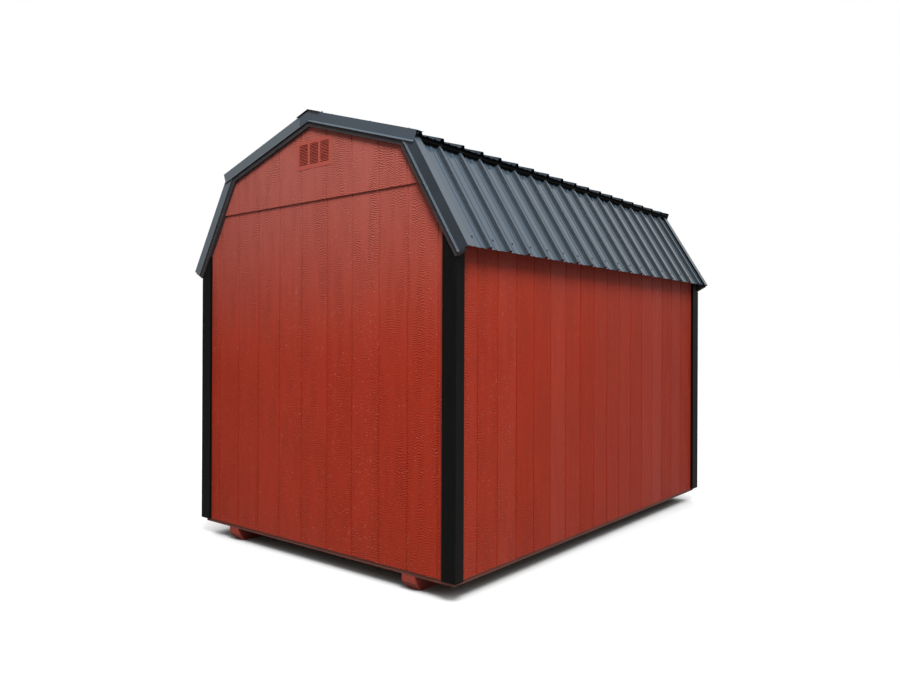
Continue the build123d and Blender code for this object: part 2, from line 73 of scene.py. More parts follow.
class NodeSheet:
    """A node tree with short calls for adding, setting and linking nodes."""

    def __init__(self, tree: bpy.types.NodeTree) -> None:
        """Keeps the tree that the calls write to."""
        self.tree = tree

    def add(self, kind: str, values: dict[Any, Any] | None = None, **settings: Any) -> bpy.types.Node:
        """Adds one node.

        Args:
            kind: The node's Blender type.
            values: Input name or index to a value or to an output socket.
            settings: Attributes of the node itself.

        Returns:
            The new node.
        """
        node = self.tree.nodes.new(kind)
        for name, value in settings.items():
            setattr(node, name, value)
        for key, value in (values or {}).items():
            self.feed(node, key, value)
        return node

    def feed(self, node: bpy.types.Node, key: Any, value: Any) -> None:
        """Sets an input, or links an output socket to it.

        Args:
            node: The node to feed.
            key: The input's name or index.
            value: A value or an output socket.
        """
        if isinstance(value, bpy.types.NodeSocket):
            self.tree.links.new(value, node.inputs[key])
        else:
            node.inputs[key].default_value = value

    def math(self, operation: str, *values: Any, clamp: bool = False) -> bpy.types.NodeSocket:
        """Adds a Math node.

        Args:
            operation: What the node does.
            values: Its inputs in order, as values or output sockets.
            clamp: Whether the result is kept between nought and one.

        Returns:
            The node's output.
        """
        node = self.add("ShaderNodeMath", operation=operation, use_clamp=clamp)
        for index, value in enumerate(values):
            self.feed(node, index, value)
        return node.outputs[0]

    def vector(self, operation: str, *values: Any) -> bpy.types.Node:
        """Adds a Vector Math node.

        Args:
            operation: What the node does.
            values: Its inputs in order, as values or output sockets.

        Returns:
            The node, since its outputs differ by operation.
        """
        node = self.add("ShaderNodeVectorMath", operation=operation)
        for index, value in enumerate(values):
            self.feed(node, index, value)
        return node

    def more(self, base: Any, value: Any, share: Any) -> bpy.types.NodeSocket:
        """Adds a share of a value to a base."""
        return self.math("ADD", base, self.math("MULTIPLY", value, share))

    def upright(self, vector: Any) -> bpy.types.NodeSocket:
        """The Z part of a vector."""
        return self.add("ShaderNodeSeparateXYZ", {0: vector}).outputs["Z"]

    def noise(
        self, vector: Any, scale: float, detail: float = 2.0, rough: float = 0.5
    ) -> bpy.types.NodeSocket:
        """Adds a Noise texture on a vector and gives its factor."""
        values = {"Vector": vector, "Scale": scale, "Detail": detail, "Roughness": rough}
        return self.add("ShaderNodeTexNoise", values).outputs[0]

    def stretch(self, vector: Any, scale: Any) -> bpy.types.NodeSocket:
        """Multiplies a vector by a triple."""
        return self.vector("MULTIPLY", vector, scale).outputs[0]

    def streaks(
        self, vector: Any, scale: Triple, detail: float, rough: float = 0.5
    ) -> bpy.types.NodeSocket:
        """Noise with its own scale along each axis."""
        return self.noise(self.stretch(vector, scale), 1.0, detail, rough)

    def ramp(
        self, value: Any, low: Any, high: Any, to_low: float = 0.0, to_high: float = 1.0
    ) -> bpy.types.NodeSocket:
        """Maps a value from one range to another, with a smooth clamp."""
        values = {"Value": value, "From Min": low, "From Max": high, "To Min": to_low, "To Max": to_high}
        return self.add("ShaderNodeMapRange", values, interpolation_type="SMOOTHSTEP").outputs[0]

    def looked_at(self) -> bpy.types.NodeSocket:
        """Tells the rays that look at a surface from those that only light it.

        Returns:
            One for camera, glossy and transmission rays, and nought for the others.
        """
        ray = self.add("ShaderNodeLightPath").outputs
        seen = self.math("ADD", ray["Is Camera Ray"], ray["Is Glossy Ray"])
        return self.math("ADD", seen, ray["Is Transmission Ray"], clamp=True)

    def mix(self, factor: Any, first: Any, second: Any, blend: str = "MIX") -> bpy.types.NodeSocket:
        """Mixes two colours.

        Args:
            factor: The share of the second colour.
            first: The first colour.
            second: The second colour.
            blend: How they are mixed.

        Returns:
            The mixed colour.
        """
        node = self.add("ShaderNodeMix", data_type="RGBA", blend_type=blend)
        factor_input, first_input, second_input, colour_output = 0, 6, 7, 2
        for index, value in ((factor_input, factor), (first_input, first), (second_input, second)):
            self.feed(node, index, value)
        return node.outputs[colour_output]


def rgba(colour: Colour) -> tuple[float, float, float, float]:
    """A colour with full alpha."""
    return (*colour, 1.0)


class EffectGroup:
    """A shader node group with named inputs and outputs, built once."""

    def __init__(self, name: str, inputs: dict[str, tuple[str, Any]], outputs: dict[str, str]) -> None:
        """Makes the group and its sockets.

        Args:
            name: The group's name.
            inputs: Input name to its socket type and default value.
            outputs: Output name to its socket type.
        """
        self.tree = bpy.data.node_groups.new(name, "ShaderNodeTree")
        for key, (kind, value) in inputs.items():
            socket = self.tree.interface.new_socket(key, in_out="INPUT", socket_type=kind)
            if value is not None:
                socket.default_value = value
        for key, kind in outputs.items():
            self.tree.interface.new_socket(key, in_out="OUTPUT", socket_type=kind)
        self.sheet = NodeSheet(self.tree)
        self.start = self.tree.nodes.new("NodeGroupInput")
        self.end = self.tree.nodes.new("NodeGroupOutput")

    def read(self, key: str) -> bpy.types.NodeSocket:
        """The socket inside the group that carries an input."""
        return self.start.outputs[key]

    def give(self, key: str, socket: bpy.types.NodeSocket) -> None:
        """Links a socket to one of the group's outputs."""
        self.tree.links.new(socket, self.end.inputs[key])


class Effects:
    """The shared surface effects of the barn, with noise scales in repeats per metre."""

    def __init__(self) -> None:
        """Builds every group."""
        self.sawn = self._sawn_boards()
        self.fade = self._painted_sheen_and_dirt()
        self.timber = self._timber_grain()
        self.sheet = self._sheet_metal()

    def _sawn_boards(self) -> bpy.types.NodeTree:
        """Rough-sawn siding: cross ripples in patches, fine upright grain, a new pattern on each board.

        Returns:
            The group, which gives the height, each board's tone, the painted shade of the hollows and the
            pale specks.
        """
        ripple_pitch, ripple_bend = 0.0135, 0.065
        bend_scale = (24.0, 24.0, 9.0)
        patch_scale, patch_range = (17.0, 17.0, 2.6), (0.30, 0.70)
        grain_scale, grain_share = (190.0, 190.0, 6.0), 0.5
        pore_scale, pore_share = 240.0, 0.4
        pit_range, pit_shade_share = (0.75, 1.25), 0.5
        valley_shade_share = 0.8
        speck_scale, speck_range = (80.0, 80.0, 130.0), (0.68, 0.74)
        board_shift = (7.0, 7.0, 7.0)
        group = EffectGroup(
            "sawn_boards",
            {
                "Vector": ("NodeSocketVector", None),
                "Axis": ("NodeSocketVector", Axis.ACROSS.value),
                "Board Pitch": ("NodeSocketFloat", 0.2032),
                "Board Start": ("NodeSocketFloat", 0.0),
                "Joint": ("NodeSocketFloat", NO_JOINT),
                "Joint Gap": ("NodeSocketFloat", 0.0),
            },
            {key: "NodeSocketFloat" for key in ("Height", "Tone", "Hollow Shade", "Specks")},
        )
        s = group.sheet
        place = group.read("Vector")
        reach = s.vector("DOT_PRODUCT", place, group.read("Axis")).outputs["Value"]
        before_joint = s.math("LESS_THAN", reach, group.read("Joint"))
        closed_up = s.more(reach, before_joint, group.read("Joint Gap"))
        counted = s.math("SUBTRACT", closed_up, group.read("Board Start"))
        board = s.math("FLOOR", s.math("DIVIDE", counted, group.read("Board Pitch")))
        chance = s.add("ShaderNodeTexWhiteNoise", {"W": board}, noise_dimensions="1D")
        local = s.vector("ADD", place, s.stretch(chance.outputs["Color"], board_shift)).outputs[0]
        lift = s.more(s.upright(local), s.streaks(local, bend_scale, detail=2.0), ripple_bend)
        crest = s.math("SINE", s.math("MULTIPLY", lift, math.tau / ripple_pitch))
        ripple = s.more(0.5, crest, 0.5)
        patch = s.ramp(s.streaks(local, patch_scale, detail=1.0), *patch_range)
        grain = s.streaks(local, grain_scale, detail=3.0, rough=0.6)
        pores = s.noise(local, pore_scale, detail=2.0, rough=0.6)
        fine = s.more(s.math("MULTIPLY", grain, grain_share), pores, pore_share)
        group.give("Height", s.more(fine, ripple, patch))
        group.give("Tone", chance.outputs["Value"])
        # Painted shade: the ripple valleys and the pits are made darker as if shaded.
        valley_shade = s.math("MULTIPLY", s.math("SUBTRACT", 1.0, ripple), patch)
        pit_shade = s.math("MULTIPLY", s.ramp(s.math("ADD", grain, pores), *pit_range), pit_shade_share)
        group.give("Hollow Shade", s.math("ADD", s.math("MULTIPLY", valley_shade, valley_shade_share), pit_shade, clamp=True))
        group.give("Specks", s.ramp(s.streaks(local, speck_scale, detail=1.0), *speck_range))
        return group.tree

    def _painted_sheen_and_dirt(self) -> bpy.types.NodeTree:
        """Paint made paler towards the top, a painted sheen of sky light, and splash dirt near the ground.

        Returns:
            The group, which gives the colour with its painted sheen and its dirt.
        """
        cloud_scale, cloud_reach = 1.7, 0.2
        streak_scale = (22.0, 22.0, 2.5)
        group = EffectGroup(
            "painted_sheen_and_dirt",
            {
                "Vector": ("NodeSocketVector", None),
                "Colour": ("NodeSocketColor", (0.3, 0.04, 0.02, 1.0)),
                "Chalk": ("NodeSocketColor", (0.36, 0.10, 0.08, 1.0)),
                "Chalk Low": ("NodeSocketFloat", 1.2),
                "Chalk High": ("NodeSocketFloat", 2.6),
                "Chalk Amount": ("NodeSocketFloat", 0.8),
                "Dirt": ("NodeSocketColor", (0.10, 0.06, 0.04, 1.0)),
                "Dirt Height": ("NodeSocketFloat", 0.35),
                "Dirt Amount": ("NodeSocketFloat", 0.15),
            },
            {"Colour": "NodeSocketColor"},
        )
        s = group.sheet
        place = group.read("Vector")
        height = s.upright(place)
        cloud = s.math("SUBTRACT", s.noise(place, cloud_scale, detail=3.0), 0.5)
        level = s.more(height, cloud, cloud_reach)
        # Painted sheen: the paint turns paler towards the top, standing in for sky light on the upper
        # siding.
        painted_sheen = s.ramp(level, group.read("Chalk Low"), group.read("Chalk High"))
        painted_sheen = s.math("MULTIPLY", painted_sheen, group.read("Chalk Amount"))
        lightened = s.mix(painted_sheen, group.read("Colour"), group.read("Chalk"))
        streak = s.streaks(place, streak_scale, detail=4.0, rough=0.6)
        splash = s.math("SUBTRACT", 1.0, s.math("DIVIDE", height, group.read("Dirt Height")), clamp=True)
        mask = s.math("MULTIPLY", s.math("MULTIPLY", splash, streak), group.read("Dirt Amount"), clamp=True)
        group.give("Colour", s.mix(mask, lightened, group.read("Dirt")))
        return group.tree

    def _timber_grain(self) -> bpy.types.NodeTree:
        """Sawn timber with long grain along one axis.

        Returns:
            The group, which gives the colour and the height of the grain.
        """
        coarse_share, fine_share, fine_scale = 0.65, 0.35, 5.0
        grain_range = (0.36, 0.66)
        group = EffectGroup(
            "timber_grain",
            {
                "Vector": ("NodeSocketVector", None),
                "Stretch": ("NodeSocketVector", (60.0, 4.0, 60.0)),
                "Light": ("NodeSocketColor", (0.6, 0.45, 0.28, 1.0)),
                "Dark": ("NodeSocketColor", (0.45, 0.30, 0.17, 1.0)),
            },
            {"Colour": "NodeSocketColor", "Height": "NodeSocketFloat"},
        )
        s = group.sheet
        along = s.stretch(group.read("Vector"), group.read("Stretch"))
        coarse = s.noise(along, 1.0, detail=4.0, rough=0.55)
        fine = s.noise(along, fine_scale, detail=3.0, rough=0.6)
        grain = s.more(s.math("MULTIPLY", coarse, coarse_share), fine, fine_share)
        group.give("Colour", s.mix(s.ramp(grain, *grain_range), group.read("Light"), group.read("Dark")))
        group.give("Height", grain)
        return group.tree

    def _sheet_metal(self) -> bpy.types.NodeTree:
        """Painted steel sheet: slight buckling, dust and rain streaks down the slope.

        Returns:
            The group, which gives the dusty colour, the roughness and the height of the buckles.
        """
        streak_scale, streak_share = (3.0, 46.0, 3.0), 0.6
        cloud_scale, cloud_share = 2.3, 0.4
        film_range, gloss_range = (0.42, 0.70), (0.3, 0.7)
        buckle_scale = (3.0, 9.0, 3.0)
        group = EffectGroup(
            "sheet_metal",
            {
                "Vector": ("NodeSocketVector", None),
                "Colour": ("NodeSocketColor", (0.015, 0.016, 0.018, 1.0)),
                "Dust": ("NodeSocketColor", (0.10, 0.105, 0.11, 1.0)),
                "Dust Amount": ("NodeSocketFloat", 0.12),
                "Gloss Low": ("NodeSocketFloat", 0.16),
                "Gloss High": ("NodeSocketFloat", 0.30),
            },
            {"Colour": "NodeSocketColor", "Roughness": "NodeSocketFloat", "Height": "NodeSocketFloat"},
        )
        s = group.sheet
        place = group.read("Vector")
        streak = s.math("MULTIPLY", s.streaks(place, streak_scale, detail=3.0, rough=0.6), streak_share)
        cloud = s.noise(place, cloud_scale, detail=3.0)
        film = s.ramp(s.more(streak, cloud, cloud_share), *film_range)
        dusty = s.math("MULTIPLY", film, group.read("Dust Amount"))
        group.give("Colour", s.mix(dusty, group.read("Colour"), group.read("Dust")))
        gap = s.math("SUBTRACT", group.read("Gloss High"), group.read("Gloss Low"))
        group.give("Roughness", s.more(group.read("Gloss Low"), gap, s.ramp(cloud, *gloss_range)))
        group.give("Height", s.streaks(place, buckle_scale, detail=1.0))
        return group.tree


class Finish:
    """A material that is being wired, with its shader and object coordinates ready."""

    def __init__(self, name: str, **shader: Any) -> None:
        """Makes the material.

        Args:
            name: The material's name.
            shader: Values for the shader's own sockets, with underscores for spaces.
        """
        self.material = bpy.data.materials.new(name)
        self.material.use_nodes = True
        self.material.node_tree.nodes.clear()
        self.sheet = NodeSheet(self.material.node_tree)
        out = self.sheet.add("ShaderNodeOutputMaterial")
        self.shader = self.sheet.add("ShaderNodeBsdfPrincipled")
        self.sheet.tree.links.new(self.shader.outputs[0], out.inputs[0])
        for key, value in shader.items():
            self.shader.inputs[key.replace("_", " ")].default_value = value
        self.place = self.sheet.add("ShaderNodeTexCoord").outputs["Object"]

    def group(self, tree: bpy.types.NodeTree, **values: Any) -> bpy.types.Node:
        """Adds a shared effect on the object coordinates.

        Args:
            tree: The effect.
            values: Its inputs, with underscores for spaces.

        Returns:
            The group node.
        """
        node = self.sheet.add("ShaderNodeGroup")
        node.node_tree = tree
        self.sheet.feed(node, "Vector", self.place)
        for key, value in values.items():
            self.sheet.feed(node, key.replace("_", " "), value)
        return node

    def upward(self) -> bpy.types.NodeSocket:
        """How far the surface faces up, from the upright part of its normal."""
        return self.sheet.upright(self.sheet.add("ShaderNodeNewGeometry").outputs["Normal"])

    def bump(self, height: Any, strength: float, distance: float) -> None:
        """Feeds a height to the shader's normal."""
        values = {"Height": height, "Strength": strength, "Distance": distance}
        self.feed("Normal", self.sheet.add("ShaderNodeBump", values).outputs[0])

    def feed(self, key: str, socket: bpy.types.NodeSocket) -> None:
        """Links a socket to the shader."""
        self.sheet.feed(self.shader, key, socket)


@dataclass(frozen=True)
class SidingPaint:
    """Barn-red paint on an embossed siding sheet."""

    name: str
    axis: Axis
    board_start: float
    joint: float = NO_JOINT
    joint_gap: float = 0.0
    board_pitch: float = 0.2032
    colour: Colour = (0.268, 0.0225, 0.0092)
    # The chalk colour, heights and amount paint a paler top: painted sheen of sky light.
    painted_sheen: Colour = (0.274, 0.074, 0.058)
    painted_sheen_low: float = 1.10
    painted_sheen_high: float = 2.55
    painted_sheen_amount: float = 0.9
    dirt: Colour = (0.10, 0.06, 0.04)
    dirt_height: float = 0.35
    dirt_amount: float = 0.15
    board_tint: Colour = (0.97, 0.96, 0.95)
    # The valley tint and cavity amount paint shade into the hollows of the embossing.
    hollow_shade_tint: Colour = (0.40, 0.30, 0.26)
    hollow_shade_amount: float = 0.16
    speck: Colour = (0.42, 0.16, 0.13)
    speck_amount: float = 0.45
    shine: float = 0.14
    roughness: float = 0.62
    board_roughness: float = 0.12
    emboss: float = 0.0032
    emboss_strength: float = 0.8

    def build(self, effects: Effects) -> bpy.types.Material:
        """Wires the paint.

        Args:
            effects: The shared surface effects.

        Returns:
            The material.
        """
        finish = Finish(self.name, Specular_IOR_Level=self.shine)
        sawn = finish.group(
            effects.sawn,
            Axis=self.axis.value,
            Board_Pitch=self.board_pitch,
            Board_Start=self.board_start,
            Joint=self.joint,
            Joint_Gap=self.joint_gap,
        )
        fade = finish.group(
            effects.fade,
            Colour=rgba(self.colour),
            Chalk=rgba(self.painted_sheen),
            Chalk_Low=self.painted_sheen_low,
            Chalk_High=self.painted_sheen_high,
            Chalk_Amount=self.painted_sheen_amount,
            Dirt=rgba(self.dirt),
            Dirt_Height=self.dirt_height,
            Dirt_Amount=self.dirt_amount,
        )
        s = finish.sheet
        tone = sawn.outputs["Tone"]
        boards = s.mix(tone, fade.outputs["Colour"], rgba(self.board_tint), "MULTIPLY")
        # Painted shade: the hollows darken the paint by the valley tint.
        hollow_shade = s.math("MULTIPLY", sawn.outputs["Hollow Shade"], self.hollow_shade_amount)
        shaded = s.mix(hollow_shade, boards, rgba(self.hollow_shade_tint), "MULTIPLY")
        specks = s.math("MULTIPLY", sawn.outputs["Specks"], self.speck_amount)
        finish.feed("Base Color", s.mix(specks, shaded, rgba(self.speck)))
        finish.feed("Roughness", s.more(self.roughness, tone, self.board_roughness))
        finish.bump(sawn.outputs["Height"], self.emboss_strength, self.emboss)
        return finish.material


@dataclass(frozen=True)
class TimberFinish:
    """Timber, bare or painted, with its grain along one axis."""

    name: str
    light: Colour
    dark: Colour
    stretch: Triple
    roughness: float = 0.7
    depth: float = 0.0012
    shine: float = 0.3
    grain_roughness: float = 0.12
    grain_strength: float = 0.6

    def build(self, effects: Effects) -> bpy.types.Material:
        """Wires the timber.

        Args:
            effects: The shared surface effects.

        Returns:
            The material.
        """
        finish = Finish(self.name, Specular_IOR_Level=self.shine)
        light, dark = rgba(self.light), rgba(self.dark)
        grain = finish.group(effects.timber, Stretch=self.stretch, Light=light, Dark=dark).outputs
        finish.feed("Base Color", grain["Colour"])
        finish.feed("Roughness", finish.sheet.more(self.roughness, grain["Height"], self.grain_roughness))
        finish.bump(grain["Height"], self.grain_strength, self.depth)
        return finish.material


@dataclass(frozen=True)
class SteelPaint:
    """Baked paint on steel sheet, with dust and a painted sheen of sky reflection where the sheet faces up.
    """

    name: str
    colour: Colour
    dust_and_sheen: Colour = (0.13, 0.145, 0.16)
    dust_amount: float = 0.12
    gloss_low: float = 0.16
    gloss_high: float = 0.28
    buckle: float = 0.0008
    buckle_strength: float = 1.0
    shine: float = 0.2
    settled_dust_and_sheen: float = 0.0
    settle_from: float = 0.12
    settle_to: float = 0.34

    def build(self, effects: Effects) -> bpy.types.Material:
        """Wires the paint.

        Args:
            effects: The shared surface effects.

        Returns:
            The material.
        """
        finish = Finish(self.name, Specular_IOR_Level=self.shine)
        metal = finish.group(
            effects.sheet,
            Colour=rgba(self.colour),
            Dust=rgba(self.dust_and_sheen),
            Dust_Amount=self.dust_amount,
            Gloss_Low=self.gloss_low,
            Gloss_High=self.gloss_high,
        )
        s = finish.sheet
        # Dust and painted sheen: faces turned up take the paler colour, standing in part for reflected sky
        # light.
        dust_and_sheen_mask = s.ramp(finish.upward(), self.settle_from, self.settle_to, 0.0, self.settled_dust_and_sheen)
        finish.feed("Base Color", s.mix(dust_and_sheen_mask, metal.outputs["Colour"], rgba(self.dust_and_sheen)))
        finish.feed("Roughness", metal.outputs["Roughness"])
        finish.bump(metal.outputs["Height"], self.buckle_strength, self.buckle)
        return finish.material


@dataclass(frozen=True)
class LouvrePaint:
    """Paint on the moulded vent, lighter on the sloped blades than on the flange: painted light that makes
    up for the blades' shade.
    """

    name: str
    flange: Colour = (0.262, 0.052, 0.038)
    # The blades' colour is lighter than the flange's: painted light for the shade on the downturned blades.
    blades_painted_light: Colour = (0.34, 0.062, 0.044)
    slope_from: float = 0.05
    slope_to: float = 0.20
    shine: float = 0.2
    roughness: float = 0.55
    speckle: Triple = (60.0, 60.0, 60.0)
    speckle_roughness: float = 0.1
    speckle_strength: float = 0.3
    speckle_depth: float = 0.0004

    def build(self, effects: Effects) -> bpy.types.Material:
        """Wires the paint.

        Args:
            effects: The shared surface effects.

        Returns:
            The material.
        """
        finish = Finish(self.name, Specular_IOR_Level=self.shine)
        s = finish.sheet
        flange = rgba(self.flange)
        speckle = finish.group(effects.timber, Stretch=self.speckle, Light=flange, Dark=flange).outputs
        # Painted light: faces that tilt, the blades, take the lighter colour.
        blade_light_mask = s.ramp(s.math("ABSOLUTE", finish.upward()), self.slope_from, self.slope_to)
        finish.feed("Base Color", s.mix(blade_light_mask, speckle["Colour"], rgba(self.blades_painted_light)))
        finish.feed("Roughness", s.more(self.roughness, speckle["Height"], self.speckle_roughness))
        finish.bump(speckle["Height"], self.speckle_strength, self.speckle_depth)
        return finish.material


@dataclass
class Shell:
    """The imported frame, dressed node by node."""

    nodes: dict[str, bpy.types.Object]
    effects: Effects
    finishes: dict[str, bpy.types.Material] = field(default_factory=dict)

    def paint(self) -> None:
        """Builds the finishes of the frame."""
        paints = (*self._reds(), *self._timbers(), *self._steels())
        self.finishes = {paint.name: paint.build(self.effects) for paint in paints}

    @staticmethod
    def _reds() -> tuple[SidingPaint | LouvrePaint, ...]:
        """The red paints.

        Returns:
            The paint of the gables, its darker copy on the long walls as painted shade, and the vents'
            paint.
        """
        return (
            SidingPaint("gable_siding", Axis.ACROSS, board_start=0.1327, joint=0.024, joint_gap=0.0138),
            # The long walls take a darker copy of the gable paint with less of its paler top: painted
            # shade.
            SidingPaint(
                "side_siding_painted_shade",
                Axis.ALONG,
                board_start=-1.596,
                colour=(0.250, 0.0190, 0.0060),
                painted_sheen_amount=0.25,
            ),
            LouvrePaint("vent_red"),
        )

    @staticmethod
    def _timbers() -> tuple[TimberFinish, ...]:
        """The timbers, and the closure foam, which is dressed the same way.

        Returns:
            The black boards, the skids and rim, the bare timber inside and the foam, whose near-black also
            stands in for the shade under the upper sheets' overhang.
        """
        return (
            TimberFinish(
                "trim_upright",
                light=(0.0033, 0.0033, 0.0032),
                dark=(0.0020, 0.0020, 0.0019),
                stretch=(90.0, 90.0, 5.0),
                roughness=0.62,
                depth=0.0008,
                shine=0.05,
            ),
            TimberFinish(
                "trim_slope",
                light=(0.034, 0.029, 0.031),
                dark=(0.022, 0.019, 0.020),
                stretch=(8.0, 60.0, 60.0),
                roughness=0.6,
                depth=0.0006,
                shine=0.12,
            ),
            TimberFinish("skid", (0.235, 0.035, 0.022), (0.17, 0.026, 0.018), (60.0, 4.0, 60.0)),
            TimberFinish("rim", (0.145, 0.045, 0.032), (0.10, 0.035, 0.026), (5.0, 5.0, 70.0)),
            TimberFinish("framing", (0.62, 0.46, 0.28), (0.50, 0.34, 0.19), (30.0, 30.0, 6.0)),
            TimberFinish("sheathing", (0.58, 0.43, 0.26), (0.42, 0.29, 0.16), (30.0, 30.0, 30.0)),
            # Near-black closure foam, also a dark strip where the overhang casts shade: real foam and
            # painted shade.
            TimberFinish(
                "foam_and_painted_shade",
                light=(0.006, 0.006, 0.0065),
                dark=(0.003, 0.003, 0.0032),
                stretch=(180.0, 180.0, 180.0),
                roughness=0.9,
                depth=0.0004,
                shine=0.05,
            ),
        )

    def _steels(self) -> tuple[SteelPaint, ...]:
        """The painted steels.

        Returns:
            The roof sheets, the flashings in painted lit and shaded copies by piece, and the screws.
        """
        return (
            # The roof's bluish settled colour paints pale pans and dark rib flanks: dust and painted sheen
            # of sky reflection.
            SteelPaint(
                "roof_steel",
                (0.010, 0.014, 0.018),
                dust_and_sheen=(0.038, 0.055, 0.073),
                gloss_low=0.06,
                gloss_high=0.14,
                settled_dust_and_sheen=0.95,
                settle_from=0.26,
                settle_to=0.46,
            ),
            SteelPaint("roof_upper", (0.014, 0.020, 0.027), shine=0.06, gloss_low=0.3, gloss_high=0.4),
            # Lit and shaded copies of one flashing paint, pale, mid and dark by piece: painted light and
            # shade.
            self._flashing("flashing_painted_light", (0.070, 0.084, 0.096)),
            self._flashing("flashing_painted_half_shade", (0.034, 0.044, 0.056)),
            self._flashing("flashing_painted_shade", (0.013, 0.018, 0.024)),
            SteelPaint("screw_paint", (0.008, 0.009, 0.010), buckle=0.0001, shine=0.25, dust_amount=0.0),
        )

    @staticmethod
    def _flashing(name: str, colour: Colour) -> SteelPaint:
        """Duller paint of the rake flashing, with dust and a painted sheen of sky light on the hem and the
        top leg.

        Args:
            name: The finish's name.
            colour: The paint's colour.

        Returns:
            The finish.
        """
        return SteelPaint(
            name,
            colour,
            dust_and_sheen=(0.060, 0.078, 0.096),
            buckle=0.0004,
            gloss_low=0.2,
            gloss_high=0.35,
            settled_dust_and_sheen=0.7,
        )

    def finish_name(self, node: str) -> str:
        """The finish of a CAD node, from its name.

        Args:
            node: The node's name.

        Returns:
            The name of its finish, by the first rule that fits.
        """
        rules = (
            ("skid", "skid"),
            ("floor_rim", "rim"),
            ("floor_deck", "sheathing"),
            ("backer", "sheathing"),
            ("gable_vent", "vent_red"),
            ("front_siding", "gable_siding"),
            ("rear_siding", "gable_siding"),
            ("_siding", "side_siding_painted_shade"),
            ("corner_trim", "trim_upright"),
            ("rake_board", "trim_slope"),
            ("upper_left", "flashing_painted_light"),
            ("lower_left", "flashing_painted_light"),
            ("upper_right", "flashing_painted_half_shade"),
            ("lower_right", "flashing_painted_shade"),
            ("upper_roof_sheet", "roof_upper"),
            ("lower_roof_sheet", "roof_steel"),
            ("ridge_cap", "roof_upper"),
            ("closure", "foam_and_painted_shade"),
        )
        for part, name in rules:
            if part in node:
                return name
        return "framing"

    def dress(self) -> None:
        """Gives each CAD node its finish."""
        for name, node in self.nodes.items():
            node.data.materials.clear()
            node.data.materials.append(self.finishes[self.finish_name(name)])
        log.info("dressed %d nodes", len(self.nodes))


class Carrier:
    """A CAD node that fasteners are driven into, asked where its surface lies."""

    def __init__(self, node: bpy.types.Object) -> None:
        """Reads the node's mesh, which holds its place in the frame.

        Args:
            node: The node that carries the fasteners.
        """
        mesh = node.data
        faces = [tuple(face.vertices) for face in mesh.polygons]
        self.tree = BVHTree.FromPolygons([vertex.co for vertex in mesh.vertices], faces)

    def seat(self, start: Vector, way: Vector) -> Seat | None:
        """Where a straight drive meets the surface.

        Args:
            start: A point outside the node.
            way: The direction of the drive.

        Returns:
            The place and the outward normal, or None if the drive misses.
        """
        place, normal, _, _ = self.tree.ray_cast(start, way)
        if place is None:
            return None
        return place, (normal if normal.dot(way) < 0 else -normal)


@dataclass(frozen=True)
class FastenerKind:
    """The sizes of one kind of fastener: its head, and a washer under it."""

    head_radius: float
    head_height: float
    head_sides: int
    washer_radius: float
    washer_height: float
    washer_sides: int


ROOF_SCREW = FastenerKind(0.0052, 0.0050, 6, 0.0085, 0.0022, 10)
TRIM_SCREW = FastenerKind(0.0042, 0.0036, 6, 0.0062, 0.0014, 8)
SIDING_NAIL = FastenerKind(0.0024, 0.0005, 6, 0.0034, 0.0007, 8)


